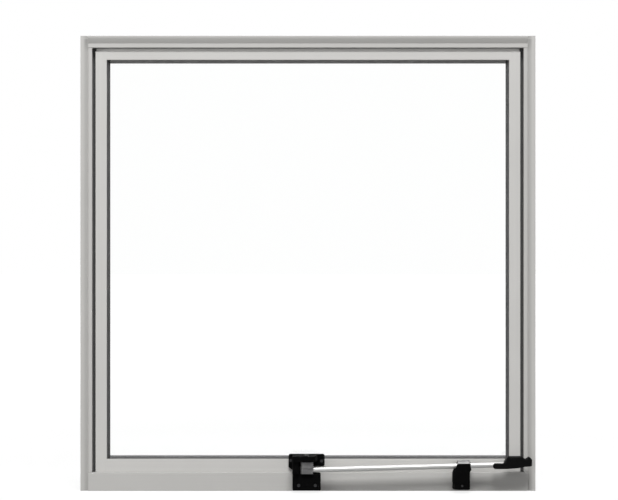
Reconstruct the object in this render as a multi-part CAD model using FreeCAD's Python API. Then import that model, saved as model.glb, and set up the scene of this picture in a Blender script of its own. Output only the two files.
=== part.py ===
import FreeCAD, Part
import math
import os

# Top hung awning window, closed, seen from the room: X to the right, Y out of
# the building, Z up.  The origin is the middle of the sill's underside.
# Every bar is drawn as a section (u, v): u runs from the outer edge of the
# window inwards, v from the room face of the frame outwards.

os.makedirs("parts", exist_ok=True)
Vector = FreeCAD.Vector

# A cutting shape runs past the piece it cuts by this much.
CLEAR = 1.0

WIDTH = 900.0
HEIGHT = 900.0

# Frame sections
FRAME_DEPTH = 60.0
FRAME_WALL = 1.8
BOX_DEPTH = 14.0
JAMB_LEG = 23.0
HEAD_LEG = 23.6
SILL_BOX = 30.0
SILL_LIP_TOP = 37.0

# Sash sections and the gaps that part them from the frame
SASH_FACE = 4.5
SASH_BACK = 38.0
SASH_WALL = 1.8
SIDE_GAP = 6.3
HEAD_GAP = 7.2
SILL_GAP = 2.0
STILE_WIDTH = 22.1
TOP_RAIL_WIDTH = 16.5
BOTTOM_RAIL_WIDTH = 30.5
GLASS_THICK = 5.0

# Hinge along the head: a cup on the frame and a tongue on the sash
CUP_BACK = 26.0
CUP_WIDTH = 10.0
TONGUE_GAP = 1.4
TONGUE_WALL = 1.8

# Sliding stay
ROD_RADIUS = 5.0
ROD_STANDOFF = 22.0
ROD_HEIGHT_AT_PIVOT = 43.8
ROD_HEIGHT_AT_GUIDE = 52.3
ROD_END_FROM_EDGE = 64.0
GUIDE_FROM_ROD_END = 80.0

ROOM_FACE = -FRAME_DEPTH / 2
STILE_FACE = (JAMB_LEG + SIDE_GAP, JAMB_LEG + SIDE_GAP + STILE_WIDTH)
TOP_RAIL_FACE = (HEAD_LEG + HEAD_GAP, HEAD_LEG + HEAD_GAP + TOP_RAIL_WIDTH)
BOTTOM_RAIL_FACE = (SILL_BOX + SILL_GAP, SILL_BOX + SILL_GAP + BOTTOM_RAIL_WIDTH)
cup_front = CUP_BACK + CUP_WIDTH
stem_front = cup_front + TONGUE_GAP
stem_back = stem_front + TONGUE_WALL

PLACES = {
    "left": lambda u, v, s: Vector(-WIDTH / 2 + u, ROOM_FACE + v, s),
    "right": lambda u, v, s: Vector(WIDTH / 2 - u, ROOM_FACE + v, s),
    "bottom": lambda u, v, s: Vector(s, ROOM_FACE + v, u),
    "top": lambda u, v, s: Vector(s, ROOM_FACE + v, HEIGHT - u),
}


def loop(corners):
    """Closed wire through corners (point, radius), rounded where the radius is above zero."""
    edges = []
    ends = []
    for i, (point, radius) in enumerate(corners):
        if radius <= 0:
            ends.append((point, None, point))
            continue
        back = (corners[i - 1][0] - point).normalize()
        ahead = (corners[(i + 1) % len(corners)][0] - point).normalize()
        half = back.getAngle(ahead) / 2
        middle = (back + ahead).normalize()
        reach = radius / math.tan(half)
        centre = point + middle * (radius / math.sin(half))
        ends.append((point + back * reach, centre - middle * radius, point + ahead * reach))
    for i, (start, bulge, end) in enumerate(ends):
        before = ends[i - 1][2]
        if (start - before).Length > 1e-6:
            edges.append(Part.LineSegment(before, start).toShape())
        if bulge is not None:
            edges.append(Part.Arc(start, bulge, end).toShape())
    return Part.Wire(edges)


def swept(place, start, end, outline, hollows=()):
    """Bar of one section between two stations of a side; outline points are (u, v) or (u, v, radius)."""
    wires = []
    for points in [outline] + list(hollows):
        corners = [(place(p[0], p[1], start), p[2] if len(p) > 2 else 0.0) for p in points]
        wires.append(loop(corners))
    face = Part.makeFace(wires, "Part::FaceMakerBullseye")
    return face.extrude(place(0, 0, end) - place(0, 0, start))


def bar(side, start, end, outline, hollows=()):
    return swept(PLACES[side], start, end, outline, hollows)


def rod_between(start, end, radius):
    return Part.makeCylinder(radius, (end - start).Length, start, end - start)


def block(x0, x1, y0, y1, z0, z1):
    return Part.makeBox(x1 - x0, y1 - y0, z1 - z0, Vector(x0, y0, z0))


def save(name, *solids):
    shape = solids[0] if len(solids) == 1 else Part.makeCompound(list(solids))
    shape.exportStep("parts/" + name + ".step")


# Outer frame: four aluminium extrusions.  On the room side each is a closed
# box, behind it a thin web with a lipped leg along the outside edge.
OUTER_LEG = 15.8
OUTER_LEG_TURN = 4.0
SOFT_EDGE = 0.7

# The face of jambs and head slopes back from the outer edge and steps up
# again to the leg along the opening.
BAND = 15.4
HOLLOW_START = 3.4
HOLLOW_DEPTH = 3.6
HOLLOW_RADIUS = 14.0

# Slot for the weather seal in the back of the box.
SEAL_SLOT_MOUTH = 2.4
SEAL_SLOT_WIDTH = 4.4
SEAL_SLOT_LIP = 1.0
SEAL_SLOT_DEPTH = 3.0
JAMB_SLOT_FROM_OPENING = 5.0
SILL_SLOT_FROM_OPENING = 8.0

# Screw flutes along the webs of head and sill take the screws that hold the
# corners.  The screws pass through holes in the jambs.
FLUTE_RADIUS = 2.1
FLUTE_WALL = 1.4
FLUTE_MOUTH = 2.0
FLUTE_FROM_BOX = 6.0
CORNER_SCREW_RADIUS = 2.4
flute_height = FRAME_WALL + FLUTE_RADIUS
flute_depths = (BOX_DEPTH + FLUTE_FROM_BOX, (stem_back + FRAME_DEPTH - FRAME_WALL) / 2)


def seal_slot(at):
    mouth = SEAL_SLOT_MOUTH / 2
    wide = SEAL_SLOT_WIDTH / 2
    return [
        (at + mouth, BOX_DEPTH),
        (at + mouth, BOX_DEPTH - SEAL_SLOT_LIP),
        (at + wide, BOX_DEPTH - SEAL_SLOT_LIP),
        (at + wide, BOX_DEPTH - SEAL_SLOT_DEPTH),
        (at - wide, BOX_DEPTH - SEAL_SLOT_DEPTH),
        (at - wide, BOX_DEPTH - SEAL_SLOT_LIP),
        (at - mouth, BOX_DEPTH - SEAL_SLOT_LIP),
        (at - mouth, BOX_DEPTH),
    ]


def channel_outline(front, slot):
    """Front of the box, its back with the seal slot, then the web and the outer leg."""
    return front + slot + [
        (FRAME_WALL, BOX_DEPTH),
        (FRAME_WALL, FRAME_DEPTH - FRAME_WALL),
        (OUTER_LEG - FRAME_WALL, FRAME_DEPTH - FRAME_WALL),
        (OUTER_LEG - FRAME_WALL, FRAME_DEPTH - OUTER_LEG_TURN),
        (OUTER_LEG, FRAME_DEPTH - OUTER_LEG_TURN),
        (OUTER_LEG, FRAME_DEPTH),
        (0, FRAME_DEPTH),
    ]


def hollowed_front(leg):
    return [
        (0, 0, SOFT_EDGE),
        (HOLLOW_START, 0, HOLLOW_RADIUS),
        (BAND, HOLLOW_DEPTH),
        (BAND, 0, SOFT_EDGE),
        (leg, 0, SOFT_EDGE),
        (leg, BOX_DEPTH),
    ]


def box_hollows(leg, back):
    """The two chambers behind a hollowed front, parted by the rib behind its step."""
    rib = BAND - FRAME_WALL
    return [
        [
            (FRAME_WALL, FRAME_WALL),
            (HOLLOW_START, FRAME_WALL),
            (rib, HOLLOW_DEPTH + FRAME_WALL),
            (rib, BOX_DEPTH - FRAME_WALL),
            (FRAME_WALL, BOX_DEPTH - FRAME_WALL),
        ],
        [
            (BAND + FRAME_WALL, FRAME_WALL),
            (leg - FRAME_WALL, FRAME_WALL),
            (leg - FRAME_WALL, back),
            (BAND + FRAME_WALL, back),
        ],
    ]


def fluted(side, bar_shape, half):
    """Adds the two screw flutes to the web of a head or sill."""
    for depth in flute_depths:
        start = PLACES[side](flute_height, depth, -half)
        end = PLACES[side](flute_height, depth, half)
        rim = FLUTE_RADIUS + FLUTE_WALL
        mouth = [
            (flute_height, depth - FLUTE_MOUTH / 2),
            (flute_height + rim + CLEAR, depth - FLUTE_MOUTH / 2),
            (flute_height + rim + CLEAR, depth + FLUTE_MOUTH / 2),
            (flute_height, depth + FLUTE_MOUTH / 2),
        ]
        bar_shape = bar_shape.fuse(rod_between(start, end, rim)).removeSplitter()
        bar_shape = bar_shape.cut(rod_between(start, end, FLUTE_RADIUS))
        bar_shape = bar_shape.cut(bar(side, -half, half, mouth))
    return bar_shape


jamb_slot = JAMB_LEG - JAMB_SLOT_FROM_OPENING
sill_slot = SILL_BOX - SILL_SLOT_FROM_OPENING
slot_back = BOX_DEPTH - SEAL_SLOT_DEPTH - FRAME_WALL

# The jambs run the full height.  Their legs are cut back to the outer band
# where the head and the sill pass in front of them.
JAMB_END_GAP = 0.1
FIXING_RADIUS = 2.75
FIXING_FROM_END = 150.0
FIXING_FROM_BACK = 16.0

jamb_outline = channel_outline(hollowed_front(JAMB_LEG), seal_slot(jamb_slot))
sill_reach = SILL_LIP_TOP + JAMB_END_GAP
head_reach = HEIGHT - HEAD_LEG - JAMB_END_GAP
cope_outline = [
    (BAND, -CLEAR),
    (JAMB_LEG + CLEAR, -CLEAR),
    (JAMB_LEG + CLEAR, BOX_DEPTH),
    (BAND, BOX_DEPTH),
]
web_holes = []
for inset, depths, radius in (
    (FIXING_FROM_END, (FRAME_DEPTH - FIXING_FROM_BACK,), FIXING_RADIUS),
    (flute_height, flute_depths, CORNER_SCREW_RADIUS),
):
    web_holes += [(depth, height, radius) for depth in depths for height in (inset, HEIGHT - inset)]

for side in ("left", "right"):
    jamb = bar(side, 0, HEIGHT, jamb_outline, box_hollows(JAMB_LEG, slot_back))
    for low, high in ((0, sill_reach), (head_reach, HEIGHT)):
        jamb = jamb.cut(bar(side, low, high, cope_outline))
    for depth, height, radius in web_holes:
        outside = PLACES[side](-CLEAR, depth, height)
        inside = PLACES[side](FRAME_WALL + CLEAR, depth, height)
        jamb = jamb.cut(rod_between(outside, inside, radius))
    save("frame_jamb_" + side, jamb)


def between_jambs(shape):
    """Trims a head or sill to the room that the two jambs leave it."""
    leg_depth = FRAME_DEPTH - OUTER_LEG_TURN
    end = FRAME_DEPTH + CLEAR
    web = [(-CLEAR, BOX_DEPTH), (FRAME_WALL, BOX_DEPTH), (FRAME_WALL, end), (-CLEAR, end)]
    leg = [(-CLEAR, leg_depth), (OUTER_LEG, leg_depth), (OUTER_LEG, end), (-CLEAR, end)]
    band = [(-CLEAR, -CLEAR), (BAND, -CLEAR), (BAND, BOX_DEPTH), (-CLEAR, BOX_DEPTH)]
    for side in ("left", "right"):
        for outline in (web, leg, band):
            shape = shape.cut(bar(side, -CLEAR, HEIGHT + CLEAR, outline))
    return shape


# Along the head hangs a cup-shaped channel.  The tongue on the sash's top
# rail hooks into it: that is the hinge of a top hung sash.
CUP_FLOOR = 17.0
CUP_WALL = 1.8
CUP_LIP_TOP = 11.0
CUP_OUTER_RADIUS = 2.6
CUP_INNER_RADIUS = 0.8
WELD = 0.2

cup = [
    (FRAME_WALL - WELD, CUP_BACK),
    (CUP_FLOOR, CUP_BACK, CUP_OUTER_RADIUS),
    (CUP_FLOOR, cup_front, CUP_OUTER_RADIUS),
    (CUP_LIP_TOP, cup_front),
    (CUP_LIP_TOP, cup_front - CUP_WALL),
    (CUP_FLOOR - CUP_WALL, cup_front - CUP_WALL, CUP_INNER_RADIUS),
    (CUP_FLOOR - CUP_WALL, CUP_BACK + CUP_WALL, CUP_INNER_RADIUS),
    (FRAME_WALL - WELD, CUP_BACK + CUP_WALL),
]
half_width = WIDTH / 2
head_outline = channel_outline(hollowed_front(HEAD_LEG), [])
head = bar("top", -half_width, half_width, head_outline, box_hollows(HEAD_LEG, BOX_DEPTH - FRAME_WALL))
head = head.fuse(bar("top", -half_width, half_width, cup)).removeSplitter()
save("frame_head", between_jambs(fluted("top", head, half_width)))

# The sill has a plain face with a thin lip that laps the sash.  Its outer leg
# is slotted so that water runs out of the channel.
SILL_LIP_THICK = 3.0
SILL_LIP_RADIUS = 1.2
DRAIN_FROM_EDGE = 190.0
DRAIN_LENGTH = 28.0
DRAIN_TOP = 7.0

sill_outline = channel_outline(
    [
        (0, 0, SOFT_EDGE),
        (SILL_LIP_TOP, 0, SILL_LIP_RADIUS),
        (SILL_LIP_TOP, SILL_LIP_THICK, SOFT_EDGE),
        (SILL_BOX, SILL_LIP_THICK),
        (SILL_BOX, BOX_DEPTH),
    ],
    seal_slot(sill_slot),
)
sill_hollow = [
    (FRAME_WALL, FRAME_WALL),
    (SILL_BOX - FRAME_WALL, FRAME_WALL),
    (SILL_BOX - FRAME_WALL, slot_back),
    (FRAME_WALL, slot_back),
]
sill = bar("bottom", -half_width, half_width, sill_outline, [sill_hollow])
drain_side = half_width - DRAIN_FROM_EDGE
for middle in (-drain_side, 0.0, drain_side):
    sill = sill.cut(block(
        middle - DRAIN_LENGTH / 2, middle + DRAIN_LENGTH / 2,
        ROOM_FACE + FRAME_DEPTH - OUTER_LEG_TURN - CLEAR, ROOM_FACE + FRAME_DEPTH + CLEAR,
        FRAME_WALL, DRAIN_TOP,
    ))
save("frame_sill", between_jambs(fluted("bottom", sill, half_width)))

# Sash: hollow stiles and rails.  Its room face lies a little behind the
# frame's, and a flange round it closes on the weather seals.
GLAZING_LEG = 8.5
GLAZING_LEG_TURN = 5.0
FLANGE_EDGE = 19.0
FLANGE_FRONT = 20.0
FLANGE_BACK = FLANGE_FRONT + SASH_WALL


def tube_edge(face):
    """Where the sash tube ends and the glazing pocket begins."""
    return face[1] - GLAZING_LEG


def sash_outline(face):
    return [
        (face[0], SASH_FACE, SOFT_EDGE),
        (face[1], SASH_FACE, SOFT_EDGE),
        (face[1], SASH_FACE + GLAZING_LEG_TURN),
        (face[1] - SASH_WALL, SASH_FACE + GLAZING_LEG_TURN),
        (face[1] - SASH_WALL, SASH_FACE + SASH_WALL),
        (tube_edge(face), SASH_FACE + SASH_WALL),
        (tube_edge(face), SASH_BACK, SOFT_EDGE),
        (face[0], SASH_BACK, SOFT_EDGE),
    ]


def sash_hollow(face):
    return [
        (face[0] + SASH_WALL, SASH_FACE + SASH_WALL),
        (tube_edge(face) - SASH_WALL, SASH_FACE + SASH_WALL),
        (tube_edge(face) - SASH_WALL, SASH_BACK - SASH_WALL),
        (face[0] + SASH_WALL, SASH_BACK - SASH_WALL),
    ]


def flange_outline(face):
    return [
        (FLANGE_EDGE, FLANGE_FRONT),
        (face[0], FLANGE_FRONT),
        (face[0], FLANGE_BACK),
        (FLANGE_EDGE, FLANGE_BACK),
    ]


# The stiles run through from the top rail's edge to the bottom rail's edge.
stile_low = BOTTOM_RAIL_FACE[0]
stile_high = HEIGHT - TOP_RAIL_FACE[0]
stiles = []
for side in ("left", "right"):
    tube = bar(side, stile_low, stile_high, sash_outline(STILE_FACE), [sash_hollow(STILE_FACE)])
    flange = bar(side, FLANGE_EDGE, HEIGHT - FLANGE_EDGE, flange_outline(STILE_FACE))
    stile = tube.fuse(flange).removeSplitter()
    save("sash_stile_" + side, stile)
    stiles.append(stile)

# The rails fit between the stiles' tubes and are cut round their glazing legs.
rail_half = half_width - tube_edge(STILE_FACE)
flange_half = half_width - STILE_FACE[0]


def rail(side, face):
    tube = bar(side, -rail_half, rail_half, sash_outline(face), [sash_hollow(face)])
    shape = tube.fuse(bar(side, -flange_half, flange_half, flange_outline(face))).removeSplitter()
    coped = shape.cut(stiles)
    return max(coped.Solids, key=lambda solid: solid.Volume)


# Tongue of the top rail: a stem behind the head's cup, a roof over its lip
# and a tip that hangs in the cup.
TONGUE_ROOF = 6.0
TONGUE_TIP_GAP = 0.2
TONGUE_RADIUS = 0.8

tip_front = CUP_BACK + CUP_WIDTH / 2 - TONGUE_WALL / 2
tip_back = tip_front + TONGUE_WALL
tip_end = CUP_FLOOR - CUP_WALL - TONGUE_TIP_GAP
foot = TOP_RAIL_FACE[0]
tongue = [
    (foot + SASH_WALL, SASH_BACK - SASH_WALL),
    (foot, SASH_BACK - SASH_WALL),
    (foot, stem_front),
    (TONGUE_ROOF + TONGUE_WALL, stem_front, TONGUE_RADIUS),
    (TONGUE_ROOF + TONGUE_WALL, tip_back),
    (tip_end, tip_back, TONGUE_RADIUS),
    (tip_end, tip_front, TONGUE_RADIUS),
    (TONGUE_ROOF, tip_front, TONGUE_RADIUS),
    (TONGUE_ROOF, stem_back, TONGUE_WALL),
    (foot + SASH_WALL, stem_back),
]
top_rail = rail("top", TOP_RAIL_FACE).fuse(bar("top", -rail_half, rail_half, tongue))
save("sash_top_rail", top_rail.removeSplitter())

# A drip lip hangs from the bottom rail's outer edge and throws the water
# clear of the weather seal.
DRIP_LENGTH = 5.0
drip = [
    (BOTTOM_RAIL_FACE[0] - DRIP_LENGTH, SASH_BACK - SASH_WALL, SOFT_EDGE),
    (BOTTOM_RAIL_FACE[0] + SASH_WALL, SASH_BACK - SASH_WALL),
    (BOTTOM_RAIL_FACE[0] + SASH_WALL, SASH_BACK),
    (BOTTOM_RAIL_FACE[0] - DRIP_LENGTH, SASH_BACK, SOFT_EDGE),
]
bottom_rail = rail("bottom", BOTTOM_RAIL_FACE).fuse(bar("bottom", -rail_half, rail_half, drip))
save("sash_bottom_rail", bottom_rail.removeSplitter())

# Pane: it stands in the pocket, a bite deep behind the sash's glazing leg.
GLASS_FRONT = 15.5
GLASS_BITE = 6.0
GLASS_BACK = GLASS_FRONT + GLASS_THICK

glass_half = half_width - STILE_FACE[1] + GLASS_BITE
glass_low = BOTTOM_RAIL_FACE[1] - GLASS_BITE
glass_high = HEIGHT - TOP_RAIL_FACE[1] + GLASS_BITE
save("glass_pane", block(
    -glass_half, glass_half,
    ROOM_FACE + GLASS_FRONT, ROOM_FACE + GLASS_BACK,
    glass_low, glass_high,
))

# Two blocks in the bottom pocket carry the pane.
SETTING_BLOCK = 80.0
SETTING_FROM_EDGE = 175.0

setting_side = glass_half - SETTING_FROM_EDGE
save("setting_blocks", *[
    block(
        middle - SETTING_BLOCK / 2, middle + SETTING_BLOCK / 2,
        ROOM_FACE + GLASS_FRONT, ROOM_FACE + GLASS_BACK,
        tube_edge(BOTTOM_RAIL_FACE), glass_low,
    )
    for middle in (-setting_side, setting_side)
])

# Gaskets and beads, one strip a side.  The upright strips run through, and
# the level ones stop at them.
GASKET_SHOWN = 6.0
GASKET_LIP = 1.0
GASKET_FIT = 0.4
GASKET_SLOPE = 2.7
OUTER_GASKET_THICK = 3.5
OUTER_GASKET_SHOWN = 4.0
OUTER_GASKET_SLOPE = 1.6
BEAD_FRONT = GLASS_BACK + OUTER_GASKET_THICK
BEAD_SHOWN = 1.0
BEAD_WALL = 1.4
BEAD_NOSE = 2.5
BEAD_SLOPE = 4.0


def inner_gasket(face):
    """Wedge between the glazing leg and the pane, with a root behind the leg's turn."""
    edge = face[1]
    leg_back = SASH_FACE + GLAZING_LEG_TURN
    root_front = SASH_FACE + SASH_WALL + GASKET_FIT
    return [
        (edge - GLASS_BITE, root_front),
        (edge - SASH_WALL - GASKET_FIT, root_front),
        (edge - SASH_WALL - GASKET_FIT, leg_back),
        (edge, leg_back),
        (edge + GASKET_SLOPE, leg_back + GASKET_FIT, SOFT_EDGE),
        (edge + GASKET_SHOWN, GLASS_FRONT - GASKET_LIP),
        (edge + GASKET_SHOWN, GLASS_FRONT),
        (edge - GLASS_BITE, GLASS_FRONT),
    ]


def outer_gasket(face):
    edge = face[1]
    return [
        (edge - GLASS_BITE, GLASS_BACK),
        (edge + OUTER_GASKET_SHOWN, GLASS_BACK),
        (edge + OUTER_GASKET_SHOWN - OUTER_GASKET_SLOPE, BEAD_FRONT),
        (edge - GLASS_BITE, BEAD_FRONT),
    ]


def bead_outline(face):
    return [
        (tube_edge(face), BEAD_FRONT),
        (face[1] + BEAD_SHOWN, BEAD_FRONT),
        (face[1] + BEAD_SHOWN, BEAD_FRONT + BEAD_NOSE, SOFT_EDGE),
        (face[1] + BEAD_SHOWN - BEAD_SLOPE, SASH_BACK, SOFT_EDGE),
        (tube_edge(face), SASH_BACK),
    ]


def bead_hollow(face):
    return [
        (tube_edge(face) + BEAD_WALL, BEAD_FRONT + BEAD_WALL),
        (face[1] + BEAD_SHOWN - BEAD_WALL - BEAD_WALL / 2, BEAD_FRONT + BEAD_WALL),
        (face[1] + BEAD_SHOWN - BEAD_SLOPE - BEAD_WALL, SASH_BACK - BEAD_WALL),
        (tube_edge(face) + BEAD_WALL, SASH_BACK - BEAD_WALL),
    ]


strips = (
    ("inner_gasket_", inner_gasket, None, GASKET_SHOWN, GLASS_BITE),
    ("outer_gasket_", outer_gasket, None, OUTER_GASKET_SHOWN, GLASS_BITE),
    ("bead_", bead_outline, bead_hollow, BEAD_SHOWN, GLAZING_LEG),
)
for name, outline, hollow, shown, bite in strips:
    low = BOTTOM_RAIL_FACE[1] - bite
    high = HEIGHT - TOP_RAIL_FACE[1] + bite
    stop = half_width - STILE_FACE[1] - shown
    for side, face, start, end in (
        ("left", STILE_FACE, low, high),
        ("right", STILE_FACE, low, high),
        ("top", TOP_RAIL_FACE, -stop, stop),
        ("bottom", BOTTOM_RAIL_FACE, -stop, stop),
    ):
        save(name + side, bar(side, start, end, outline(face), [hollow(face)] if hollow else []))

# Weather seals: a foot in the slot of the frame and a soft bulb against the
# flange of the sash.  The bulbs of the jamb seals show in the gap.
SEAL_FIT = 0.2
SEAL_WALL = 2.2
SEAL_TUNNEL = 3.0
SEAL_RADIUS = 1.0
SEAL_CHAMFER = 1.5


def seal_outline(slot, tip):
    mouth = SEAL_SLOT_MOUTH / 2 - SEAL_FIT
    wide = SEAL_SLOT_WIDTH / 2 - SEAL_FIT
    foot_front = BOX_DEPTH - SEAL_SLOT_DEPTH + SEAL_FIT
    foot_back = BOX_DEPTH - SEAL_SLOT_LIP - SEAL_FIT
    return [
        (slot - wide, foot_front),
        (slot + wide, foot_front),
        (slot + wide, foot_back),
        (slot + mouth, foot_back),
        (slot + mouth, BOX_DEPTH),
        (tip - SEAL_CHAMFER, BOX_DEPTH),
        (tip, BOX_DEPTH + SEAL_CHAMFER, SEAL_RADIUS),
        (tip, FLANGE_FRONT, SEAL_RADIUS),
        (slot - wide, FLANGE_FRONT, SEAL_RADIUS),
        (slot - wide, BOX_DEPTH),
        (slot - mouth, BOX_DEPTH),
        (slot - mouth, foot_back),
        (slot - wide, foot_back),
    ]


def seal_tunnel(slot, tip):
    middle = (BOX_DEPTH + FLANGE_FRONT) / 2
    half = SEAL_TUNNEL / 2
    return [
        (slot, middle - half),
        (tip - SEAL_WALL, middle - half),
        (tip - SEAL_WALL, middle + half),
        (slot, middle + half),
    ]


def seal(side, start, end, slot, tip):
    return bar(side, start, end, seal_outline(slot, tip), [seal_tunnel(slot, tip)])


JAMB_SEAL_GAP = 0.3
SILL_SEAL_SET_BACK = 1.0
SILL_SEAL_END_GAP = 1.0

for side in ("left", "right"):
    save("jamb_seal_" + side, seal(side, sill_reach, head_reach, jamb_slot, STILE_FACE[0] - JAMB_SEAL_GAP))
seal_half = half_width - BAND - SILL_SEAL_END_GAP
save("sill_seal", seal("bottom", -seal_half, seal_half, sill_slot, SILL_BOX - SILL_SEAL_SET_BACK))

# Sliding stay.  The bright rod is pivoted under the sash bracket in the middle
# of the bottom rail, runs through a swivelling guide on the sill and ends in a
# black grip.  Its line rises a little to the right.
PIVOT_X = -3.0
ROD_FROM_PIVOT = 5.0
ROD_CHAMFER = 0.8
RUNNING_GAP = 0.2

rod_line_y = ROOM_FACE - ROD_STANDOFF
rod_end_x = half_width - ROD_END_FROM_EDGE
guide_x = rod_end_x - GUIDE_FROM_ROD_END
rod_rise = (ROD_HEIGHT_AT_GUIDE - ROD_HEIGHT_AT_PIVOT) / (guide_x - PIVOT_X)


def on_rod(x):
    return Vector(x, rod_line_y, ROD_HEIGHT_AT_PIVOT + (x - PIVOT_X) * rod_rise)


def along_rod(x0, x1, radius):
    return rod_between(on_rod(x0), on_rod(x1), radius)


def upright(x, z0, z1, radius):
    """Round bar or bore on an upright axis that crosses the rod's line."""
    return rod_between(Vector(x, rod_line_y, z0), Vector(x, rod_line_y, z1), radius)


def facing(outline, y_room, y_back):
    """Plate drawn in the plane of the window; outline points are (x, z) or (x, z, radius)."""
    return swept(lambda x, z, s: Vector(x, s, z), y_room, y_back, outline)


def level(outline, z_low, z_high):
    """Plate drawn as seen from above; outline points are (x, y) or (x, y, radius)."""
    return swept(lambda x, y, s: Vector(x, y, s), z_low, z_high, outline)


def countersunk(x, y_face, z, depth):
    """Screw hole from a face on the room side, with a conical seat for the head."""
    face = Vector(x, y_face, z)
    into = Vector(0, 1, 0)
    seat = Part.makeCone(HEAD_RADIUS, SCREW_RADIUS, HEAD_RADIUS - SCREW_RADIUS, face, into)
    return seat.fuse(Part.makeCylinder(SCREW_RADIUS, depth, face, into))


rod = along_rod(PIVOT_X + ROD_FROM_PIVOT, rod_end_x, ROD_RADIUS)
rod = rod.makeChamfer(ROD_CHAMFER, [e for e in rod.Edges if isinstance(e.Curve, Part.Circle)])
save("stay_rod", rod)

# Sash bracket: a black casting screwed to the bottom rail.  Its hood covers
# the pivot, and the nose of its post drops into the catch on the sill.
SCREW_RADIUS = 2.1
HEAD_RADIUS = 3.4
PLATE_THICK = 4.0
PLATE_X = (-38.4, 33.0)
PLATE_TOP = 72.8
PLATE_LOW_LEFT = 41.0
PLATE_LOW_RIGHT = 49.0
PLATE_RADIUS = 4.0
EAR_SCREWS = ((-34.4, 60.0), (27.0, 59.0))
HOOD_LOW = 60.6
HOOD_TOP = 71.6
HOOD_REACH = 13.0
HOOD_RIGHT = 20.0
HOOD_TAPER = 6.0
HOOD_RADIUS = 12.0
POST = (-30.6, -16.2)
POST_REACH = 10.0
POST_RADIUS = 5.0
EAR_SLOPE = 6.0
PIN_RADIUS = 3.0
BLOCK_BELOW_ROD = 6.7
CATCH_GAP = 0.8
NOSE_DROP = 6.4
NOSE_INSET = 2.0
NOSE_REACH = 2.0
NOSE_RADIUS = 2.0
LIP_GAP = 0.8

plate_face = ROOM_FACE + SASH_FACE - PLATE_THICK
block_low = ROD_HEIGHT_AT_PIVOT - BLOCK_BELOW_ROD
catch_top = block_low - CATCH_GAP
post_low = catch_top + CATCH_GAP
nose_low = catch_top - NOSE_DROP

plate = facing(
    [
        (PLATE_X[0], PLATE_LOW_LEFT + EAR_SLOPE, PLATE_RADIUS),
        (POST[0], PLATE_LOW_LEFT),
        (POST[1], PLATE_LOW_LEFT),
        (POST[1], PLATE_LOW_RIGHT),
        (PLATE_X[1], PLATE_LOW_RIGHT, PLATE_RADIUS),
        (PLATE_X[1], PLATE_TOP, PLATE_RADIUS),
        (PLATE_X[0], PLATE_TOP, PLATE_RADIUS),
    ],
    plate_face, ROOM_FACE + SASH_FACE,
)
for x, z in EAR_SCREWS:
    plate = plate.cut(countersunk(x, plate_face, z, PLATE_THICK + CLEAR))
hood = level(
    [
        (POST[0], plate_face),
        (HOOD_RIGHT, plate_face),
        (HOOD_RIGHT - HOOD_TAPER, rod_line_y - HOOD_REACH, HOOD_RADIUS),
        (POST[0], rod_line_y - HOOD_REACH, POST_RADIUS),
    ],
    HOOD_LOW, HOOD_TOP,
)
post = level(
    [
        (POST[0], plate_face),
        (POST[1], plate_face),
        (POST[1], rod_line_y - POST_REACH, POST_RADIUS),
        (POST[0], rod_line_y - POST_REACH, POST_RADIUS),
    ],
    post_low, HOOD_LOW,
)
post = post.cut(block(
    POST[0] - CLEAR, POST[1] + CLEAR,
    ROOM_FACE - LIP_GAP, ROOM_FACE + SASH_FACE,
    0, SILL_LIP_TOP + LIP_GAP,
))
nose = level(
    [
        (POST[0] + NOSE_INSET, rod_line_y + POST_REACH),
        (POST[1] - NOSE_INSET, rod_line_y + POST_REACH),
        (POST[1] - NOSE_INSET, rod_line_y - NOSE_REACH, NOSE_RADIUS),
        (POST[0] + NOSE_INSET, rod_line_y - NOSE_REACH, NOSE_RADIUS),
    ],
    nose_low, post_low,
)
pin_bore = upright(PIVOT_X, 0, PLATE_TOP + CLEAR, PIN_RADIUS + RUNNING_GAP)
save("sash_bracket", plate.fuse([hood, post, nose]).removeSplitter().cut(pin_bore))

# Swivel block: it turns on an upright pin under the hood and holds the rod.
BLOCK_X = (-15.0, 10.4)
BLOCK_HALF = 9.0
BLOCK_NOSE_RADIUS = 7.0
BLOCK_RADIUS = 1.5
HOOD_GAP = 0.7
SPLIT_WIDTH = 1.2
SPLIT_ABOVE_ROD = 2.8
SPLIT_FROM_FACE = 4.5

block_high = HOOD_LOW - HOOD_GAP
swivel = level(
    [
        (BLOCK_X[0], rod_line_y + BLOCK_HALF, BLOCK_NOSE_RADIUS),
        (BLOCK_X[1], rod_line_y + BLOCK_HALF, BLOCK_RADIUS),
        (BLOCK_X[1], rod_line_y - BLOCK_HALF, BLOCK_RADIUS),
        (BLOCK_X[0], rod_line_y - BLOCK_HALF, BLOCK_NOSE_RADIUS),
    ],
    block_low, block_high,
)
rod_socket = along_rod(PIVOT_X + ROD_FROM_PIVOT, BLOCK_X[1] + 10, ROD_RADIUS + RUNNING_GAP)
split_low = ROD_HEIGHT_AT_PIVOT + SPLIT_ABOVE_ROD
split = block(
    BLOCK_X[0] - CLEAR, BLOCK_X[1] + CLEAR,
    rod_line_y - BLOCK_HALF - CLEAR, rod_line_y - SPLIT_FROM_FACE,
    split_low, split_low + SPLIT_WIDTH,
)
save("swivel_block", swivel.cut([rod_socket, pin_bore, split]))

PIN_HEAD_RADIUS = 5.0
PIN_HEAD_HEIGHT = 2.0
PIN_TAIL = 0.8

pin_head_low = HOOD_TOP + RUNNING_GAP
pin = upright(PIVOT_X, block_low - PIN_TAIL + RUNNING_GAP, pin_head_low + PIN_HEAD_HEIGHT, PIN_RADIUS)
pin_head = upright(PIVOT_X, pin_head_low, pin_head_low + PIN_HEAD_HEIGHT, PIN_HEAD_RADIUS)
save("swivel_pin", pin.fuse(pin_head).removeSplitter())

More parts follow.
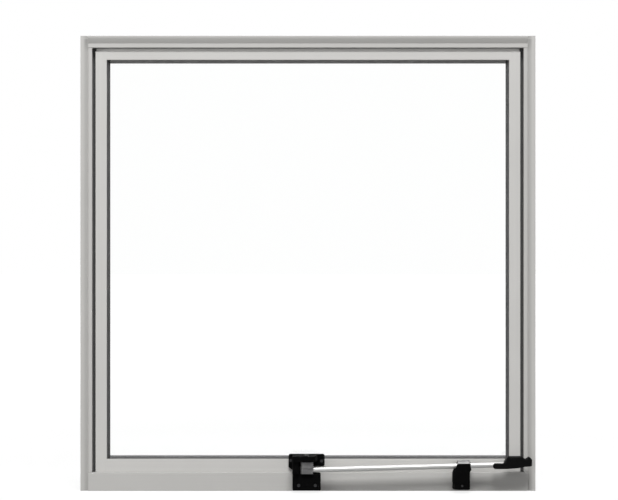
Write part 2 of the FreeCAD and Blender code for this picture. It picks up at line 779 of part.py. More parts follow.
# Catch on the sill: it takes the nose of the bracket and keeps the sash shut.
CATCH_X = (-30.4, 25.0)
CATCH_LOW = 4.0
CATCH_REACH = 4.0
CATCH_RADIUS = 2.5
NOSE_GAP = 0.8

catch = facing(
    [
        (CATCH_X[0], CATCH_LOW, CATCH_RADIUS),
        (CATCH_X[1], CATCH_LOW, CATCH_RADIUS),
        (CATCH_X[1], catch_top, CATCH_RADIUS),
        (CATCH_X[0], catch_top, CATCH_RADIUS),
    ],
    rod_line_y - CATCH_REACH, ROOM_FACE,
)
mouth = level(
    [
        (POST[0] + NOSE_INSET - NOSE_GAP, rod_line_y + POST_REACH + NOSE_GAP),
        (POST[1] - NOSE_INSET + NOSE_GAP, rod_line_y + POST_REACH + NOSE_GAP),
        (POST[1] - NOSE_INSET + NOSE_GAP, rod_line_y - NOSE_REACH - NOSE_GAP),
        (POST[0] + NOSE_INSET - NOSE_GAP, rod_line_y - NOSE_REACH - NOSE_GAP),
    ],
    nose_low - NOSE_GAP, catch_top + CLEAR,
)
save("sill_catch", catch.cut(mouth))

# Guide: a foot on the sill, a swivelling body on an upright pivot and a grey
# bush that the rod slides in.
FOOT_LEFT = 20.6
FOOT_RIGHT = 13.2
FOOT_LOW = 4.0
FOOT_TOP = 34.0
FOOT_THICK = 5.0
FOOT_RADIUS = 3.0
FOOT_TAPER = 1.2
SHELF_LOW = 7.0
SHELF_TOP = 19.0
SHELF_LEFT = 19.4
SHELF_RIGHT = 12.0
BODY_LEFT = 21.6
BODY_RIGHT = 15.6
BODY_HALF = 13.0
BODY_PLAN_RADIUS = 8.0
BODY_ABOVE_ROD = 5.2
BUSH_RADIUS = 10.8
BUSH_HALF = 11.9
PIVOT_RADIUS = 4.0

foot_plate = facing(
    [
        (guide_x - FOOT_LEFT, FOOT_LOW, FOOT_RADIUS),
        (guide_x + FOOT_RIGHT, FOOT_LOW, FOOT_RADIUS),
        (guide_x + FOOT_RIGHT - FOOT_TAPER, FOOT_TOP, FOOT_RADIUS),
        (guide_x - FOOT_LEFT + FOOT_TAPER, FOOT_TOP, FOOT_RADIUS),
    ],
    ROOM_FACE - FOOT_THICK, ROOM_FACE,
)


def guide_plan(left, right, y_back):
    """The guide as seen from above, rounded towards the room."""
    return [
        (guide_x - left, y_back),
        (guide_x + right, y_back),
        (guide_x + right, rod_line_y - BODY_HALF, BODY_PLAN_RADIUS),
        (guide_x - left, rod_line_y - BODY_HALF, BODY_PLAN_RADIUS),
    ]


shelf = level(guide_plan(SHELF_LEFT, SHELF_RIGHT, ROOM_FACE - FOOT_THICK), SHELF_LOW, SHELF_TOP)
pivot_bore = upright(guide_x, SHELF_LOW - CLEAR, ROD_HEIGHT_AT_GUIDE, PIVOT_RADIUS + RUNNING_GAP)
save("guide_foot", foot_plate.fuse(shelf).removeSplitter().cut(pivot_bore))

# The body leans over to the right: it has a shoulder at the left, and at the
# right it swells from a waist to the height of the bush.
SHOULDER_BELOW_ROD = 14.0
SHOULDER_RADIUS = 8.0
BODY_LEAN = 8.4
WAIST = 4.4
WAIST_BELOW_ROD = 11.0
WAIST_RADIUS = 5.0
SWELL_BELOW_ROD = 5.4
SWELL_RADIUS = 4.0
CROWN_RADIUS = 2.0

body_low = SHELF_TOP + 2 * RUNNING_GAP
body_top = ROD_HEIGHT_AT_GUIDE + BODY_ABOVE_ROD
profile = facing(
    [
        (guide_x - BODY_LEFT, body_low),
        (guide_x + BODY_RIGHT - WAIST, body_low),
        (guide_x + BODY_RIGHT - WAIST, ROD_HEIGHT_AT_GUIDE - WAIST_BELOW_ROD, WAIST_RADIUS),
        (guide_x + BODY_RIGHT, ROD_HEIGHT_AT_GUIDE - SWELL_BELOW_ROD, SWELL_RADIUS),
        (guide_x + BODY_RIGHT, body_top, CROWN_RADIUS),
        (guide_x - BODY_LEFT + BODY_LEAN, body_top, CROWN_RADIUS),
        (guide_x - BODY_LEFT, ROD_HEIGHT_AT_GUIDE - SHOULDER_BELOW_ROD, SHOULDER_RADIUS),
    ],
    rod_line_y - BODY_HALF, rod_line_y + BODY_HALF,
)
plan = level(guide_plan(BODY_LEFT, BODY_RIGHT, rod_line_y + BODY_HALF), body_low, body_top)
bush_seat = along_rod(guide_x - 2 * BUSH_HALF, guide_x + 2 * BUSH_HALF, BUSH_RADIUS + RUNNING_GAP)
save("guide_body", profile.common(plan).cut([bush_seat, pivot_bore]))

bush = along_rod(guide_x - BUSH_HALF, guide_x + BUSH_HALF, BUSH_RADIUS)
rod_bore = along_rod(guide_x - 2 * BUSH_HALF, guide_x + 2 * BUSH_HALF, ROD_RADIUS + RUNNING_GAP)
save("guide_bush", bush.cut(rod_bore))

PIVOT_TAIL = 1.5
PIVOT_BELOW_BUSH = 5.6
pivot_top = ROD_HEIGHT_AT_GUIDE - BUSH_RADIUS - PIVOT_BELOW_BUSH
save("guide_pivot", upright(guide_x, SHELF_LOW - PIVOT_TAIL, pivot_top, PIVOT_RADIUS))

# Grip: a moulded handle pressed on the rod's end, humped for the palm, with an
# upturned tip for the finger.  Its outline is drawn from the end of the rod,
# as points along the rod and above it, each with the radius of its corner.
GRIP_HALF = 8.5
GRIP_BEVEL = 1.8
GRIP_OVERLAP = 23.0
GRIP_BELLY = [
    (-GRIP_OVERLAP, -8.0, 5.2),
    (6.0, -7.8, 30.0),
    (28.0, -6.0, 20.0),
    (40.0, -3.6, 14.0),
]
GRIP_TIP = [
    (53.6, -2.6, 3.6),
    (53.6, 11.0, 4.2),
    (48.4, 16.0, 2.6),
    (41.2, 10.6, 3.0),
]
GRIP_BACK = [
    (34.6, 16.4, 4.0),
    (6.4, 16.4, 5.0),
    (-2.0, 3.2, 5.0),
    (-GRIP_OVERLAP, 3.2, 5.2),
]

rod_end = on_rod(rod_end_x)
grip = facing(
    [(rod_end.x + s, rod_end.z + t, radius) for s, t, radius in GRIP_BELLY + GRIP_TIP + GRIP_BACK],
    rod_line_y - GRIP_HALF, rod_line_y + GRIP_HALF,
)
rims = []
for edge in grip.Edges:
    depths = [v.Point.y for v in edge.Vertexes]
    if max(depths) - min(depths) < 1e-6:
        rims.append(edge)
grip = grip.makeChamfer(GRIP_BEVEL, rims)
grip_bore = along_rod(rod_end_x - 2 * GRIP_OVERLAP, rod_end_x + CLEAR, ROD_RADIUS + RUNNING_GAP)
save("stay_grip", grip.cut(grip_bore))
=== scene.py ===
import math

import bmesh
import bpy
from mathutils import Matrix, Vector


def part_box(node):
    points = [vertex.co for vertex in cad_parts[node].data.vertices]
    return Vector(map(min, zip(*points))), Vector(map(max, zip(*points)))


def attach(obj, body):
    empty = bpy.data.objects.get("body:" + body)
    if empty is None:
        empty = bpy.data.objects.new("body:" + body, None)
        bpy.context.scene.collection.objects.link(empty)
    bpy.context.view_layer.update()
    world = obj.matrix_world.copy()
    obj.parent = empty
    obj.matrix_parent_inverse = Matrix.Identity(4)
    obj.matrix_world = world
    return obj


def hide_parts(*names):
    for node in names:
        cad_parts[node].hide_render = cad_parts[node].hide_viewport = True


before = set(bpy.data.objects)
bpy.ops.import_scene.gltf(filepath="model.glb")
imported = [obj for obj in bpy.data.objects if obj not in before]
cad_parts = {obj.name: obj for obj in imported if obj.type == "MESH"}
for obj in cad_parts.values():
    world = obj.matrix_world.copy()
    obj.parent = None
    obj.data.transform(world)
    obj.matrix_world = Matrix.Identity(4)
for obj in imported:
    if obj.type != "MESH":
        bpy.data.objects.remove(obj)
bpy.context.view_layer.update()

# Outer frame: head, sill and two jambs, cut from natural anodised aluminium
# extrusions.  The die leaves faint lines along each bar, and the etched film
# is satin, a little cloudy, with a few scuffs from handling.
FRAME_ANODISED = (0.568, 0.560, 0.542)
FRAME_BARS = {"frame_head": "x", "frame_sill": "x", "frame_jamb_left": "z", "frame_jamb_right": "z"}
ROOM_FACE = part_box("frame_sill")[0].y
HALF_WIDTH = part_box("frame_jamb_right")[1].x
HOLLOW_DEPTH = 0.0034

# Painted shade, with some dust: faces turned up are darkened against the light from above, and the
# hollows of the face, most at the top of a jamb, are darkened as a recess in shade.
LEDGE_DUST_AND_SHADE = 1.25
HOLLOW_SHADE = 0.42
HOLLOW_SHADE_RISE = (ROOM_FACE + 0.25 * HOLLOW_DEPTH, ROOM_FACE + HOLLOW_DEPTH)
JAMB_SHADE_RISE = (0.0055, 0.0105)
JAMB_SHADE_FALL = (0.0165, 0.0125)
CORNER_SHADE_RISE = (0.869, 0.886)
CORNER_SHADE_TOP = 0.8936
FACES_ROOM = -0.9
SCUFF_LEVEL = 0.70


class Flow:
    """A value in a material's nodes. Arithmetic on it adds Math nodes, and | takes the larger."""

    def __init__(self, tree, socket):
        self.tree = tree
        self.socket = socket

    def math(self, operation, first, second):
        node = self.tree.nodes.new("ShaderNodeMath")
        node.operation = operation
        feed(self.tree, node.inputs[0], first)
        feed(self.tree, node.inputs[1], second)
        return Flow(self.tree, node.outputs[0])

    def __add__(self, other):
        return self.math("ADD", self, other)

    def __sub__(self, other):
        return self.math("SUBTRACT", self, other)

    def __rsub__(self, other):
        return self.math("SUBTRACT", other, self)

    def __mul__(self, other):
        return self.math("MULTIPLY", self, other)

    def __or__(self, other):
        return self.math("MAXIMUM", self, other)

    def __gt__(self, other):
        return self.math("GREATER_THAN", self, other)

    def __lt__(self, other):
        return self.math("LESS_THAN", self, other)

    __radd__ = __add__
    __rmul__ = __mul__
    __ror__ = __or__


def feed(tree, socket, value):
    if isinstance(value, Flow):
        tree.links.new(value.socket, socket)
    else:
        socket.default_value = value


class Finish:
    """The nodes of one material, or of the surround, round its surface shader."""

    def __init__(self, owner, shader="Principled BSDF"):
        owner.use_nodes = True
        self.owner = owner
        self.tree = owner.node_tree
        self.surface = self.tree.nodes[shader]

    def node(self, kind, settings=None, inputs=None, output=0):
        made = self.tree.nodes.new("ShaderNode" + kind)
        for key, value in (settings or {}).items():
            if key == "stops":
                for stop, (place, colour) in zip(made.color_ramp.elements, value):
                    stop.position = place
                    stop.color = colour
            else:
                setattr(made, key, value)
        for key, value in (inputs or {}).items():
            feed(self.tree, made.inputs[key], value)
        return Flow(self.tree, made.outputs[output])

    def shade(self, **inputs):
        for key, value in inputs.items():
            feed(self.tree, self.surface.inputs[key.replace("_", " ")], value)

    def place(self, stretch=(1, 1, 1)):
        """The point on the surface in metres, stretched along each axis."""
        point = self.node("TexCoord", output="Object")
        return self.node("VectorMath", {"operation": "MULTIPLY"}, {0: point, 1: stretch})

    def axis(self, vector, name):
        return self.node("SeparateXYZ", {}, {"Vector": vector}, name)

    def noise(self, scale, stretch=(1, 1, 1), detail=3.0, roughness=0.55):
        place = self.place(stretch)
        inputs = {"Vector": place, "Scale": scale, "Detail": detail, "Roughness": roughness}
        return self.node("TexNoise", {}, inputs)

    def ramp(self, value, start, end, low=0.0):
        """Goes from low to 1 as the value goes from start to end."""
        inputs = {"Value": value, "From Min": start, "From Max": end, "To Min": low}
        return self.node("MapRange", {}, inputs)

    def tint(self, amount, dark, light):
        stops = [(0.0, (*dark, 1)), (1.0, (*light, 1))]
        return self.node("ValToRGB", {"stops": stops}, {"Fac": amount})

    def cover(self, amount, under, over):
        """Lays one colour over another, in sockets 6 and 7 of Mix. Output 2 is the result."""
        return self.node("Mix", {"data_type": "RGBA"}, {0: amount, 6: under, 7: over}, 2)

    def bump(self, height, distance, strength):
        inputs = {"Height": height, "Distance": distance, "Strength": strength}
        return self.node("Bump", {}, inputs)


def finish(name):
    return Finish(bpy.data.materials.new(name))


def scaled(colour, factor):
    return tuple(min(1.0, c * factor) for c in colour)


def lengthways(along, stretch):
    """Draws a pattern out along a bar."""
    return {"x": (stretch, 1, 1), "z": (1, 1, stretch)}[along]


def anodised(name, colour, along, shaded_hollows=False, bare_and_lit_zone=None):
    """Satin anodised extrusion with its die lines running along one axis.

    Faces turned up are darker, partly with dust and partly as painted shade
    against the light from above.  Where asked, painted shade also darkens the
    hollow of the face, and more of it at the top of a jamb, where the hollows
    meet.
    Above the height given, and behind the depth given, the film is worn off,
    and the metal there reflects the white surround: painted light where the
    part lies in shade.
    """
    metal = finish(name)
    drawn = lengthways(along, 0.012)
    die_lines = metal.noise(900, drawn, detail=2.0, roughness=0.7)
    bands = metal.noise(160, drawn, detail=1.0)
    cloud = metal.noise(7, detail=4.0)
    grain = metal.noise(2600, detail=1.0)
    scuff = metal.noise(38, (1, 1, 0.35), detail=6.0, roughness=0.75) > SCUFF_LEVEL
    tone = 0.42 * cloud + 0.3 * bands + 0.2 * die_lines + 0.08 * grain + 0.1 * scuff
    clean = metal.tint(tone, scaled(colour, 0.88), scaled(colour, 1.11))
    # Darker tone laid down by the dust and the painted shade.
    soiled_and_shaded = metal.tint(grain, scaled(colour, 0.44), scaled(colour, 0.60))

    facing = metal.node("NewGeometry", output="Normal")
    place = metal.place()
    depth = metal.axis(place, "Y")
    height = metal.axis(place, "Z")
    # Faces turned up: dust, with painted shade against the light from above.
    patches = LEDGE_DUST_AND_SHADE * (metal.axis(facing, "Z") | 0.0)
    # Painted shade in the hollow of the face, most at the top of a jamb.
    if shaded_hollows:
        if along == "x":
            sunken = metal.ramp(depth, *HOLLOW_SHADE_RISE)
        else:
            across = metal.axis(place, "X")
            from_edge = HALF_WIDTH - (across | -1.0 * across)
            band = metal.ramp(from_edge, *JAMB_SHADE_FALL)
            corner = metal.ramp(height, *CORNER_SHADE_RISE) * (height < CORNER_SHADE_TOP)
            sunken = metal.ramp(from_edge, *JAMB_SHADE_RISE) * (band + corner)
        toward_room = metal.axis(facing, "Y") < FACES_ROOM
        patches = patches | HOLLOW_SHADE * sunken * toward_room

    # Painted light with real wear: the worn patch turns near-metallic and reflects the white
    # surround where the lamps don't reach.
    bare_and_lit = 0.0
    if bare_and_lit_zone:
        bare_and_lit = (height > bare_and_lit_zone[0]) * (depth > bare_and_lit_zone[1]) * (0.9 + 0.4 * bands)
    metal.shade(
        Base_Color=metal.cover(patches * (0.7 + 0.5 * cloud), clean, soiled_and_shaded),
        Metallic=0.08 + 0.8 * bare_and_lit,
        Roughness=0.42 + 0.12 * cloud + 0.06 * grain - 0.06 * scuff,
        Specular_IOR_Level=0.3,
        Normal=metal.bump(0.6 * die_lines + 0.4 * grain, distance=0.00003, strength=0.5),
    )
    return metal.owner


def coat(node, material):
    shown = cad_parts[node]
    shown.data.materials.clear()
    shown.data.materials.append(material)


frame_finish = {along: anodised("frame_anodised_" + along, FRAME_ANODISED, along, shaded_hollows=True)
                for along in "xz"}
for node, along in FRAME_BARS.items():
    coat(node, frame_finish[along])

# Corner screws: plated self-tapping screws, sunk in the holes of the jambs.
# They bite in the flutes of head and sill and hold the frame together.
PLATED = (0.42, 0.42, 0.41)
JAMB_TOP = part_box("frame_jamb_right")[1].z
FLUTE_INSET = 0.0039
CORNER_SCREW_HEIGHTS = {"low": FLUTE_INSET, "high": JAMB_TOP - FLUTE_INSET}
CORNER_SCREW_DEPTHS = {"inner": -0.010, "outer": 0.0187}
CORNER_SCREW_SUNK = 0.0002
CORNER_SCREW = [(0.0018, 0), (0.0022, -0.0003), (0.0022, -0.0014),
                (0.0019, -0.0018), (0.0019, -0.012)]
TURNED_SIDES = 28
CROSS_ARM = 0.27
CROSS_FLOOR_REACH = 0.55
CROSS_FLOOR_ARM = 0.2
SHARP = math.radians(32)

plated = finish("plated_steel")
turning = plated.noise(1200, detail=2.0)
plated.shade(
    Base_Color=plated.tint(turning, scaled(PLATED, 0.8), scaled(PLATED, 1.15)),
    Metallic=1.0,
    Roughness=0.3 + 0.1 * turning,
)


def aimed(place, out):
    """Turns a mesh's +Z to point out, and moves it to its place on the window."""
    return Matrix.Translation(place) @ Vector(out).to_track_quat("Z", "Y").to_matrix().to_4x4()


def around(ring):
    """Each corner of a ring with the next one."""
    return list(zip(ring, ring[1:] + ring[:1]))


def cross(mesh, reach, half, height):
    """Corners of a cross-shaped recess, anticlockwise."""
    corners = []
    for turn in range(4):
        for x, y in [(reach, -half), (reach, half), (half, half)]:
            for _ in range(turn):
                x, y = -y, x
            corners.append(mesh.verts.new((x, y, height)))
    return corners


def piece_from(mesh, name):
    data = bpy.data.meshes.new(name)
    mesh.to_mesh(data)
    mesh.free()
    piece = bpy.data.objects.new(name, data)
    bpy.context.scene.collection.objects.link(piece)
    return piece


def screw(name, place, out, profile, recess, depth):
    """Screw with a cross recess.

    Its profile gives radius and height from the rim of the head down the
    shank.  The recess is given by its reach from the middle and its depth.
    """
    mesh = bmesh.new()
    angles = [2 * math.pi * i / TURNED_SIDES for i in range(TURNED_SIDES)]
    rings = [[mesh.verts.new((radius * math.cos(a), radius * math.sin(a), height)) for a in angles]
             for radius, height in profile]
    top = profile[0][1]
    mouth = cross(mesh, recess, CROSS_ARM * recess, top)
    floor = cross(mesh, CROSS_FLOOR_REACH * recess, CROSS_FLOOR_ARM * recess, top - depth)
    for upper, lower in [*zip(rings, rings[1:]), (mouth, floor)]:
        for (a, b), (c, d) in zip(around(upper), around(lower)):
            mesh.faces.new((a, c, d, b))
    mesh.faces.new(rings[-1][::-1])
    mesh.faces.new(floor)
    rim = [mesh.edges.get(pair) for pair in around(rings[0]) + around(mouth)]
    bmesh.ops.triangle_fill(mesh, use_beauty=True, edges=rim)
    bmesh.ops.recalc_face_normals(mesh, faces=mesh.faces)
    bmesh.ops.transform(mesh, matrix=aimed(place, out), verts=mesh.verts)
    piece = piece_from(mesh, name)
    piece.data.shade_smooth()
    piece.data.set_sharp_from_angle(angle=SHARP)
    return piece


def fix(piece, material, slot, *nodes):
    """Puts a finished piece on the window, in place of the CAD nodes named."""
    piece.data.materials.clear()
    piece.data.materials.append(material)
    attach(piece, "root")
    if nodes:
        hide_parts(*nodes)


for side, edge in (("left", -1), ("right", 1)):
    for row, height in CORNER_SCREW_HEIGHTS.items():
        for step, depth in CORNER_SCREW_DEPTHS.items():
            place = (edge * (HALF_WIDTH - CORNER_SCREW_SUNK), depth, height)
            head = screw("corner_screw_%s_%s_%s" % (side, row, step), place, (edge, 0, 0),
                         CORNER_SCREW, recess=0.0015, depth=0.0009)
            fix(head, plated.owner, "pin_steel")

# Sash: two stiles and two rails of the same metal, coped together at the
# corners, with a film a touch lighter than the frame's.  The tongue behind
# the top rail is worn bare where it turns in the hinge cup of the head, and
# its bare metal reflects the white surround: painted light in the shaded
# gap under the head.
SASH_ANODISED = (0.636, 0.627, 0.608)
SASH_BARS = {"sash_bottom_rail": "x", "sash_stile_left": "z", "sash_stile_right": "z"}
# Height and depth of the tongue, whose bare metal is painted light in the shaded gap under the
# head.
TONGUE = (0.8705, -0.0150)
sash_finish = {along: anodised("sash_anodised_" + along, SASH_ANODISED, along) for along in "xz"}
for node, along in SASH_BARS.items():
    coat(node, sash_finish[along])
coat("sash_top_rail", anodised("sash_anodised_bare_and_lit", SASH_ANODISED, "x", bare_and_lit_zone=TONGUE))

# Glazing beads: thin sections of the sash's metal, cut to length.  They clip
# in from outside and hold the pane.
SIDES = {"top": "x", "bottom": "x", "left": "z", "right": "z"}
for side, along in SIDES.items():
    coat("bead_" + side, sash_finish[along])

# Pane: one sheet of clear float glass, 5 mm thick and faintly green, set on
# two blocks between the gaskets.  Daylight passes it, so it throws no shadow.
GLASS_TINT = (0.994, 0.998, 0.996)
glass = finish("float_glass")
smear = glass.noise(9, (1, 1, 0.4), detail=5.0, roughness=0.6)
glass.shade(
    Base_Color=glass.tint(smear, scaled(GLASS_TINT, 0.994), GLASS_TINT),
    Roughness=0.01 * smear,
    Transmission_Weight=1.0,
    IOR=1.45,
)
coat("glass_pane", glass.owner)
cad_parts["glass_pane"].visible_shadow = False

# Gaskets, seals and setting blocks: extruded black rubber, dull, with fine
# draw lines along the strip and a little pale dust.  The strip over the top
# of the pane is a paler grey than the rest.
RUBBER = (0.055, 0.055, 0.056)
# The top inner strip is given this paler grey.
PALE_RUBBER = (0.250, 0.249, 0.246)


def rubber(name, along, shade):
    strip = finish(name)
    draw = strip.noise(1500, lengthways(along, 0.02), detail=2.0)
    patches = strip.noise(120, detail=5.0, roughness=0.7)
    strip.shade(
        Base_Color=strip.tint(patches, scaled(shade, 0.6), scaled(shade, 1.5)),
        Roughness=0.48 + 0.2 * patches,
        Specular_IOR_Level=0.45,
        Normal=strip.bump(draw, distance=0.00006, strength=0.6),
    )
    return strip.owner


rubber_finish = {along: rubber("black_rubber_" + along, along, RUBBER) for along in "xz"}
pale_top_finish = rubber("pale_top_rubber", "x", PALE_RUBBER)
for side, along in SIDES.items():
    coat("inner_gasket_" + side, pale_top_finish if side == "top" else rubber_finish[along])
    coat("outer_gasket_" + side, rubber_finish[along])
for node in ("jamb_seal_left", "jamb_seal_right"):
    coat(node, rubber_finish["z"])
for node in ("sill_seal", "setting_blocks"):
    coat(node, rubber_finish["x"])

# Sash bracket: a zinc casting with a black powder coat, its edges rounded by
# the mould and the coat.  Two blackened screws hold its ears to the rail.
COAT_BLACK = (0.0018, 0.0018, 0.0019)
BLACKENED = (0.030, 0.030, 0.031)
EAR_SCREWS = {"left": (-0.0344, 0.0600), "right": (0.0270, 0.0590)}
EAR_FACE = -0.0295
EAR_SCREW_SUNK = 0.0001
EAR_SCREW = [(0.0031, 0), (0.0033, -0.0002), (0.0020, -0.0014), (0.0019, -0.0038)]
TO_ROOM = (0, -1, 0)
MERGED = 1e-6
FLAT = math.radians(1.5)
CREASED = math.radians(35)
ROUNDING_STEPS = 3

powder = finish("black_powder_coat")
peel = powder.noise(900, detail=2.0)
worn = powder.noise(60, detail=5.0, roughness=0.7)
powder.shade(
    Base_Color=powder.tint(worn, scaled(COAT_BLACK, 0.6), scaled(COAT_BLACK, 1.7)),
    Roughness=0.68 + 0.18 * worn,
    Specular_IOR_Level=0.03,
    Normal=powder.bump(peel, distance=0.00005, strength=0.5),
)
blackened = finish("blackened_steel")
oxide = blackened.noise(700)
blackened.shade(
    Base_Color=blackened.tint(oxide, scaled(BLACKENED, 0.6), scaled(BLACKENED, 1.6)),
    Metallic=0.5,
    Roughness=0.36 + 0.15 * oxide,
    Specular_IOR_Level=0.3,
)


def sink(piece, place, out, radius, reach):
    """Cuts a round seat. The cutter reaches equally far to both sides of its place."""
    mesh = bmesh.new()
    bmesh.ops.create_cone(mesh, cap_ends=True, segments=TURNED_SIDES,
                          radius1=radius, radius2=radius, depth=2 * reach)
    bmesh.ops.transform(mesh, matrix=aimed(place, out), verts=mesh.verts)
    cutter = piece_from(mesh, "seat_cutter")
    cut = piece.modifiers.new("seat", "BOOLEAN")
    cut.operation = "DIFFERENCE"
    cut.solver = "EXACT"
    cut.object = cutter
    done = piece.evaluated_get(bpy.context.evaluated_depsgraph_get())
    result = bpy.data.meshes.new_from_object(done)
    piece.modifiers.clear()
    piece.data = result
    bpy.data.objects.remove(cutter)


def softened(node, material, slot, radius, seats=()):
    """Stands in for a CAD piece with the same form, rounded edges and the seats of its screws."""
    piece = bpy.data.objects.new(node + "_soft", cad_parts[node].data.copy())
    bpy.context.scene.collection.objects.link(piece)
    mesh = bmesh.new()
    mesh.from_mesh(piece.data)
    bmesh.ops.remove_doubles(mesh, verts=mesh.verts, dist=MERGED)
    bmesh.ops.dissolve_limit(mesh, angle_limit=FLAT, verts=mesh.verts, edges=mesh.edges)
    mesh.to_mesh(piece.data)
    mesh.free()
    for seat in seats:
        sink(piece, *seat)
    bevel = piece.modifiers.new("rounded", "BEVEL")
    bevel.width = radius
    bevel.segments = ROUNDING_STEPS
    bevel.limit_method = "ANGLE"
    bevel.angle_limit = CREASED
    piece.data.shade_smooth()
    normals = piece.modifiers.new("even", "WEIGHTED_NORMAL")
    normals.keep_sharp = True
    fix(piece, material, slot, node)


softened("sash_bracket", powder.owner, "black_casting", radius=0.0009)
for side, (x, z) in EAR_SCREWS.items():
    head = screw("bracket_screw_" + side, (x, EAR_FACE + EAR_SCREW_SUNK, z), TO_ROOM,
                 EAR_SCREW, recess=0.0021, depth=0.0013)
    fix(head, blackened.owner, "black_casting")

# Swivel block and its pin: the block is bare zinc, tumbled grey, with a groove
# along its face where it is pinched on the rod.  It turns on a blackened
# steel pin under the hood of the bracket.
ZINC = (0.130, 0.129, 0.130)
GROOVE_PLACE = (-0.0090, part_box("swivel_block")[0].y, 0.0470)
GROOVE_RADIUS = 0.0009
GROOVE_HALF = 0.0066
ALONG_ROD = (1, 0, 0)

zinc = finish("tumbled_zinc")
pits = zinc.noise(420, detail=4.0)
stain = zinc.noise(70, detail=4.0)
zinc.shade(
    Base_Color=zinc.tint(stain, scaled(ZINC, 0.4), scaled(ZINC, 1.6)),
    Metallic=0.4,
    Roughness=0.38 + 0.2 * stain,
    Normal=zinc.bump(pits, distance=0.00008, strength=0.5),
)
groove = (GROOVE_PLACE, ALONG_ROD, GROOVE_RADIUS, GROOVE_HALF)
softened("swivel_block", zinc.owner, "bare_zinc", radius=0.0006, seats=[groove])
softened("swivel_pin", blackened.owner, "pin_steel", radius=0.0004)

# Catch on the sill: a coated casting that takes the nose of the bracket.  Two
# pan head screws in round seats in its face hold it.
CATCH_SCREWS = {"left": (-0.0182, 0.0138), "right": (0.0146, 0.0138)}
CATCH_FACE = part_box("sill_catch")[0].y
CATCH_SCREW_SUNK = 0.0003
PAN_SCREW = [(0.0018, 0.0), (0.0030, -0.0004), (0.0035, -0.0011), (0.0035, -0.0018),
             (0.0019, -0.0018), (0.0019, -0.0022)]
PAN_SEAT = (0.0042, 0.0022)
seats = [((x, CATCH_FACE, z), TO_ROOM, *PAN_SEAT) for x, z in CATCH_SCREWS.values()]
softened("sill_catch", powder.owner, "black_casting", radius=0.0007, seats=seats)
for side, (x, z) in CATCH_SCREWS.items():
    head = screw("catch_screw_" + side, (x, CATCH_FACE + CATCH_SCREW_SUNK, z), TO_ROOM,
                 PAN_SCREW, recess=0.0017, depth=0.0008)
    fix(head, blackened.owner, "black_casting")

# Rod: bright drawn steel, chromed, with hair scratches where it slides.  It is
# held in the swivel block and runs through the guide to the grip.
BRIGHT = (0.50, 0.50, 0.49)
bright = finish("bright_drawn_rod")
hair = bright.noise(1800, lengthways("x", 0.02), roughness=0.7)
haze = bright.noise(40, detail=4.0)
bright.shade(
    Base_Color=bright.tint(haze, scaled(BRIGHT, 0.94), scaled(BRIGHT, 1.04)),
    Metallic=0.3,
    Roughness=0.3 + 0.1 * haze,
    Normal=bright.bump(hair, distance=0.00002, strength=0.4),
)
softened("stay_rod", bright.owner, "bright_rod", radius=0.0004)

# Guide: a coated foot screwed to the sill, a coated body that swivels on a
# steel pivot, and a zinc bush for the rod.  A grub screw locks the pivot.
GRUB_X = 0.3020
GRUB_HEIGHT = 0.0142
GRUB_SUNK = 0.0004
GRUB_SCREW = [(0.0021, 0.0), (0.0024, -0.0003), (0.0024, -0.0012)]
GRUB_SEAT = (0.0029, 0.0018)
GUIDE_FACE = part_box("guide_foot")[0].y
seat = ((GRUB_X, GUIDE_FACE, GRUB_HEIGHT), TO_ROOM, *GRUB_SEAT)
softened("guide_foot", powder.owner, "black_casting", radius=0.0007, seats=[seat])
softened("guide_body", powder.owner, "black_casting", radius=0.0009)
softened("guide_pivot", plated.owner, "pin_steel", radius=0.0004)
softened("guide_bush", zinc.owner, "bare_zinc", radius=0.0006)
grub = screw("guide_grub_screw", (GRUB_X, GUIDE_FACE + GRUB_SUNK, GRUB_HEIGHT), TO_ROOM,
             GRUB_SCREW, recess=0.0015, depth=0.0008)
fix(grub, blackened.owner, "black_casting")

# Grip: black moulded plastic, satin from the mould.  It is pressed on the
# rod's end, and a hand moves the sash by it.
GRIP_BLACK = (0.0018, 0.0018, 0.0019)
moulded = finish("moulded_black_plastic")
spark = moulded.noise(1400, detail=2.0)
wear = moulded.noise(45, detail=4.0)
moulded.shade(
    Base_Color=moulded.tint(wear, scaled(GRIP_BLACK, 0.7), scaled(GRIP_BLACK, 1.7)),
    Roughness=0.45 + 0.15 * wear,
    Specular_IOR_Level=0.05,
    Normal=moulded.bump(spark, distance=0.00004, strength=0.5),
)
softened("stay_grip", moulded.owner, "grip_plastic", radius=0.0012)

# Studio: a white floor under the sill, which keeps the window's shadow, and a
# white surround.  Both show white in a reflection and through the glass too,
# and give only a little light.
FLOOR_GREY = 0.13
FLOOR_GLOW = 0.85
FLOOR_FADE = (1.2, 4.0)
FLOOR_HALF = 30
FLOOR_DROP = 0.0005
AMBIENT = 0.13


def seen(surface):
    """1 where the camera sees the surface, straight, in a reflection or through the glass."""
    return (surface.node("LightPath", output="Is Camera Ray")
            | surface.node("LightPath", output="Is Glossy Ray")
            | surface.node("LightPath", output="Is Transmission Ray"))


pale = finish("pale_floor")
distance = pale.node("VectorMath", {"operation": "LENGTH"}, {0: pale.place()}, "Value")
pale.shade(
    Base_Color=(FLOOR_GREY, FLOOR_GREY, FLOOR_GREY, 1),
    Roughness=0.9,
    Specular_IOR_Level=0.0,
    Emission_Color=pale.ramp(distance, *FLOOR_FADE, low=FLOOR_GLOW) * seen(pale),
    Emission_Strength=1.0,
)
floor_mesh = bpy.data.meshes.new("studio_floor")
corners = [(FLOOR_HALF * x, FLOOR_HALF * y, 0) for x, y in ((-1, -1), (1, -1), (1, 1), (-1, 1))]
floor_mesh.from_pydata(corners, [], [(0, 1, 2, 3)])
floor_mesh.materials.append(pale.owner)
floor = bpy.data.objects.new("studio_floor", floor_mesh)
floor.location.z = -FLOOR_DROP
bpy.context.scene.collection.objects.link(floor)

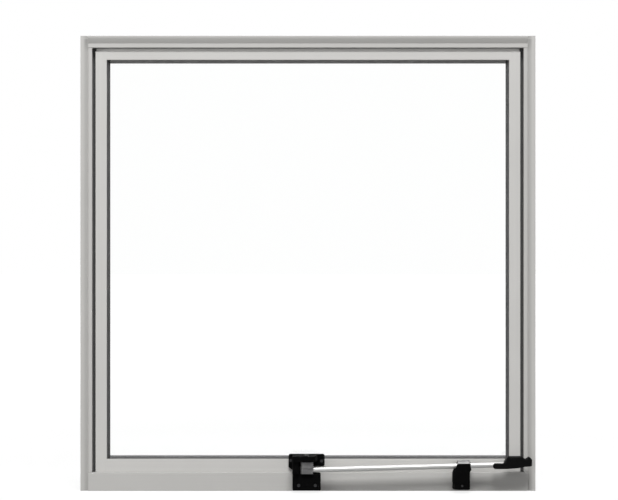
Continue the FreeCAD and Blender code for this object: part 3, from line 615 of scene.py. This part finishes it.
world = bpy.data.worlds.new("white_surround")
bpy.context.scene.world = world
surround = Finish(world, "Background")
surround.shade(Color=AMBIENT + (1.0 - AMBIENT) * seen(surround), Strength=1.0)

# Lamps: one large soft key high in front of the window, a weak fill from the
# left, and a weak one at each side outdoors.  All point at the window.
WINDOW_MIDDLE = Vector((0.0, ROOM_FACE, JAMB_TOP / 2))
KEY_ELEVATION = math.radians(60.5)
KEY_DISTANCE = 8.0
KEY_SIDE = 0.05
FILL_PLACE = (-3.0, -2.6, 1.0)
OUTSIDE_PLACES = {"left": (-3.6, 2.6, 2.2), "right": (3.6, 2.6, 2.2)}


def lamp(name, place, wide, high, power):
    data = bpy.data.lights.new(name, "AREA")
    data.shape = "ELLIPSE"
    data.size = wide
    data.size_y = high
    data.energy = power
    light = bpy.data.objects.new(name, data)
    light.location = place
    light.rotation_euler = (WINDOW_MIDDLE - Vector(place)).to_track_quat("-Z", "Y").to_euler()
    bpy.context.scene.collection.objects.link(light)


key_direction = Vector((KEY_SIDE, -math.cos(KEY_ELEVATION), math.sin(KEY_ELEVATION)))
lamp("key", WINDOW_MIDDLE + KEY_DISTANCE * key_direction, wide=4.0, high=2.6, power=785)
lamp("fill", FILL_PLACE, wide=2.0, high=2.0, power=28)
for side, place in OUTSIDE_PLACES.items():
    lamp("outside_" + side, place, wide=2.4, high=2.4, power=38)

# Camera: a long lens that stands level in the room, square to the window and
# a little above its middle.
PHOTO_SPAN = 1.2222
CAMERA_HEIGHT = 0.4763
CAMERA_SIDE = 0.0021
LENS = 100.0
SENSOR = 36.0
camera_data = bpy.data.cameras.new("camera")
camera_data.lens = LENS
camera_data.sensor_width = SENSOR
camera = bpy.data.objects.new("camera", camera_data)
camera.location = (CAMERA_SIDE, ROOM_FACE - LENS / SENSOR * PHOTO_SPAN, CAMERA_HEIGHT)
camera.rotation_euler = (math.radians(90), 0, 0)
bpy.context.scene.collection.objects.link(camera)
bpy.context.scene.camera = camera
bpy.context.scene.view_settings.view_transform = "Standard"
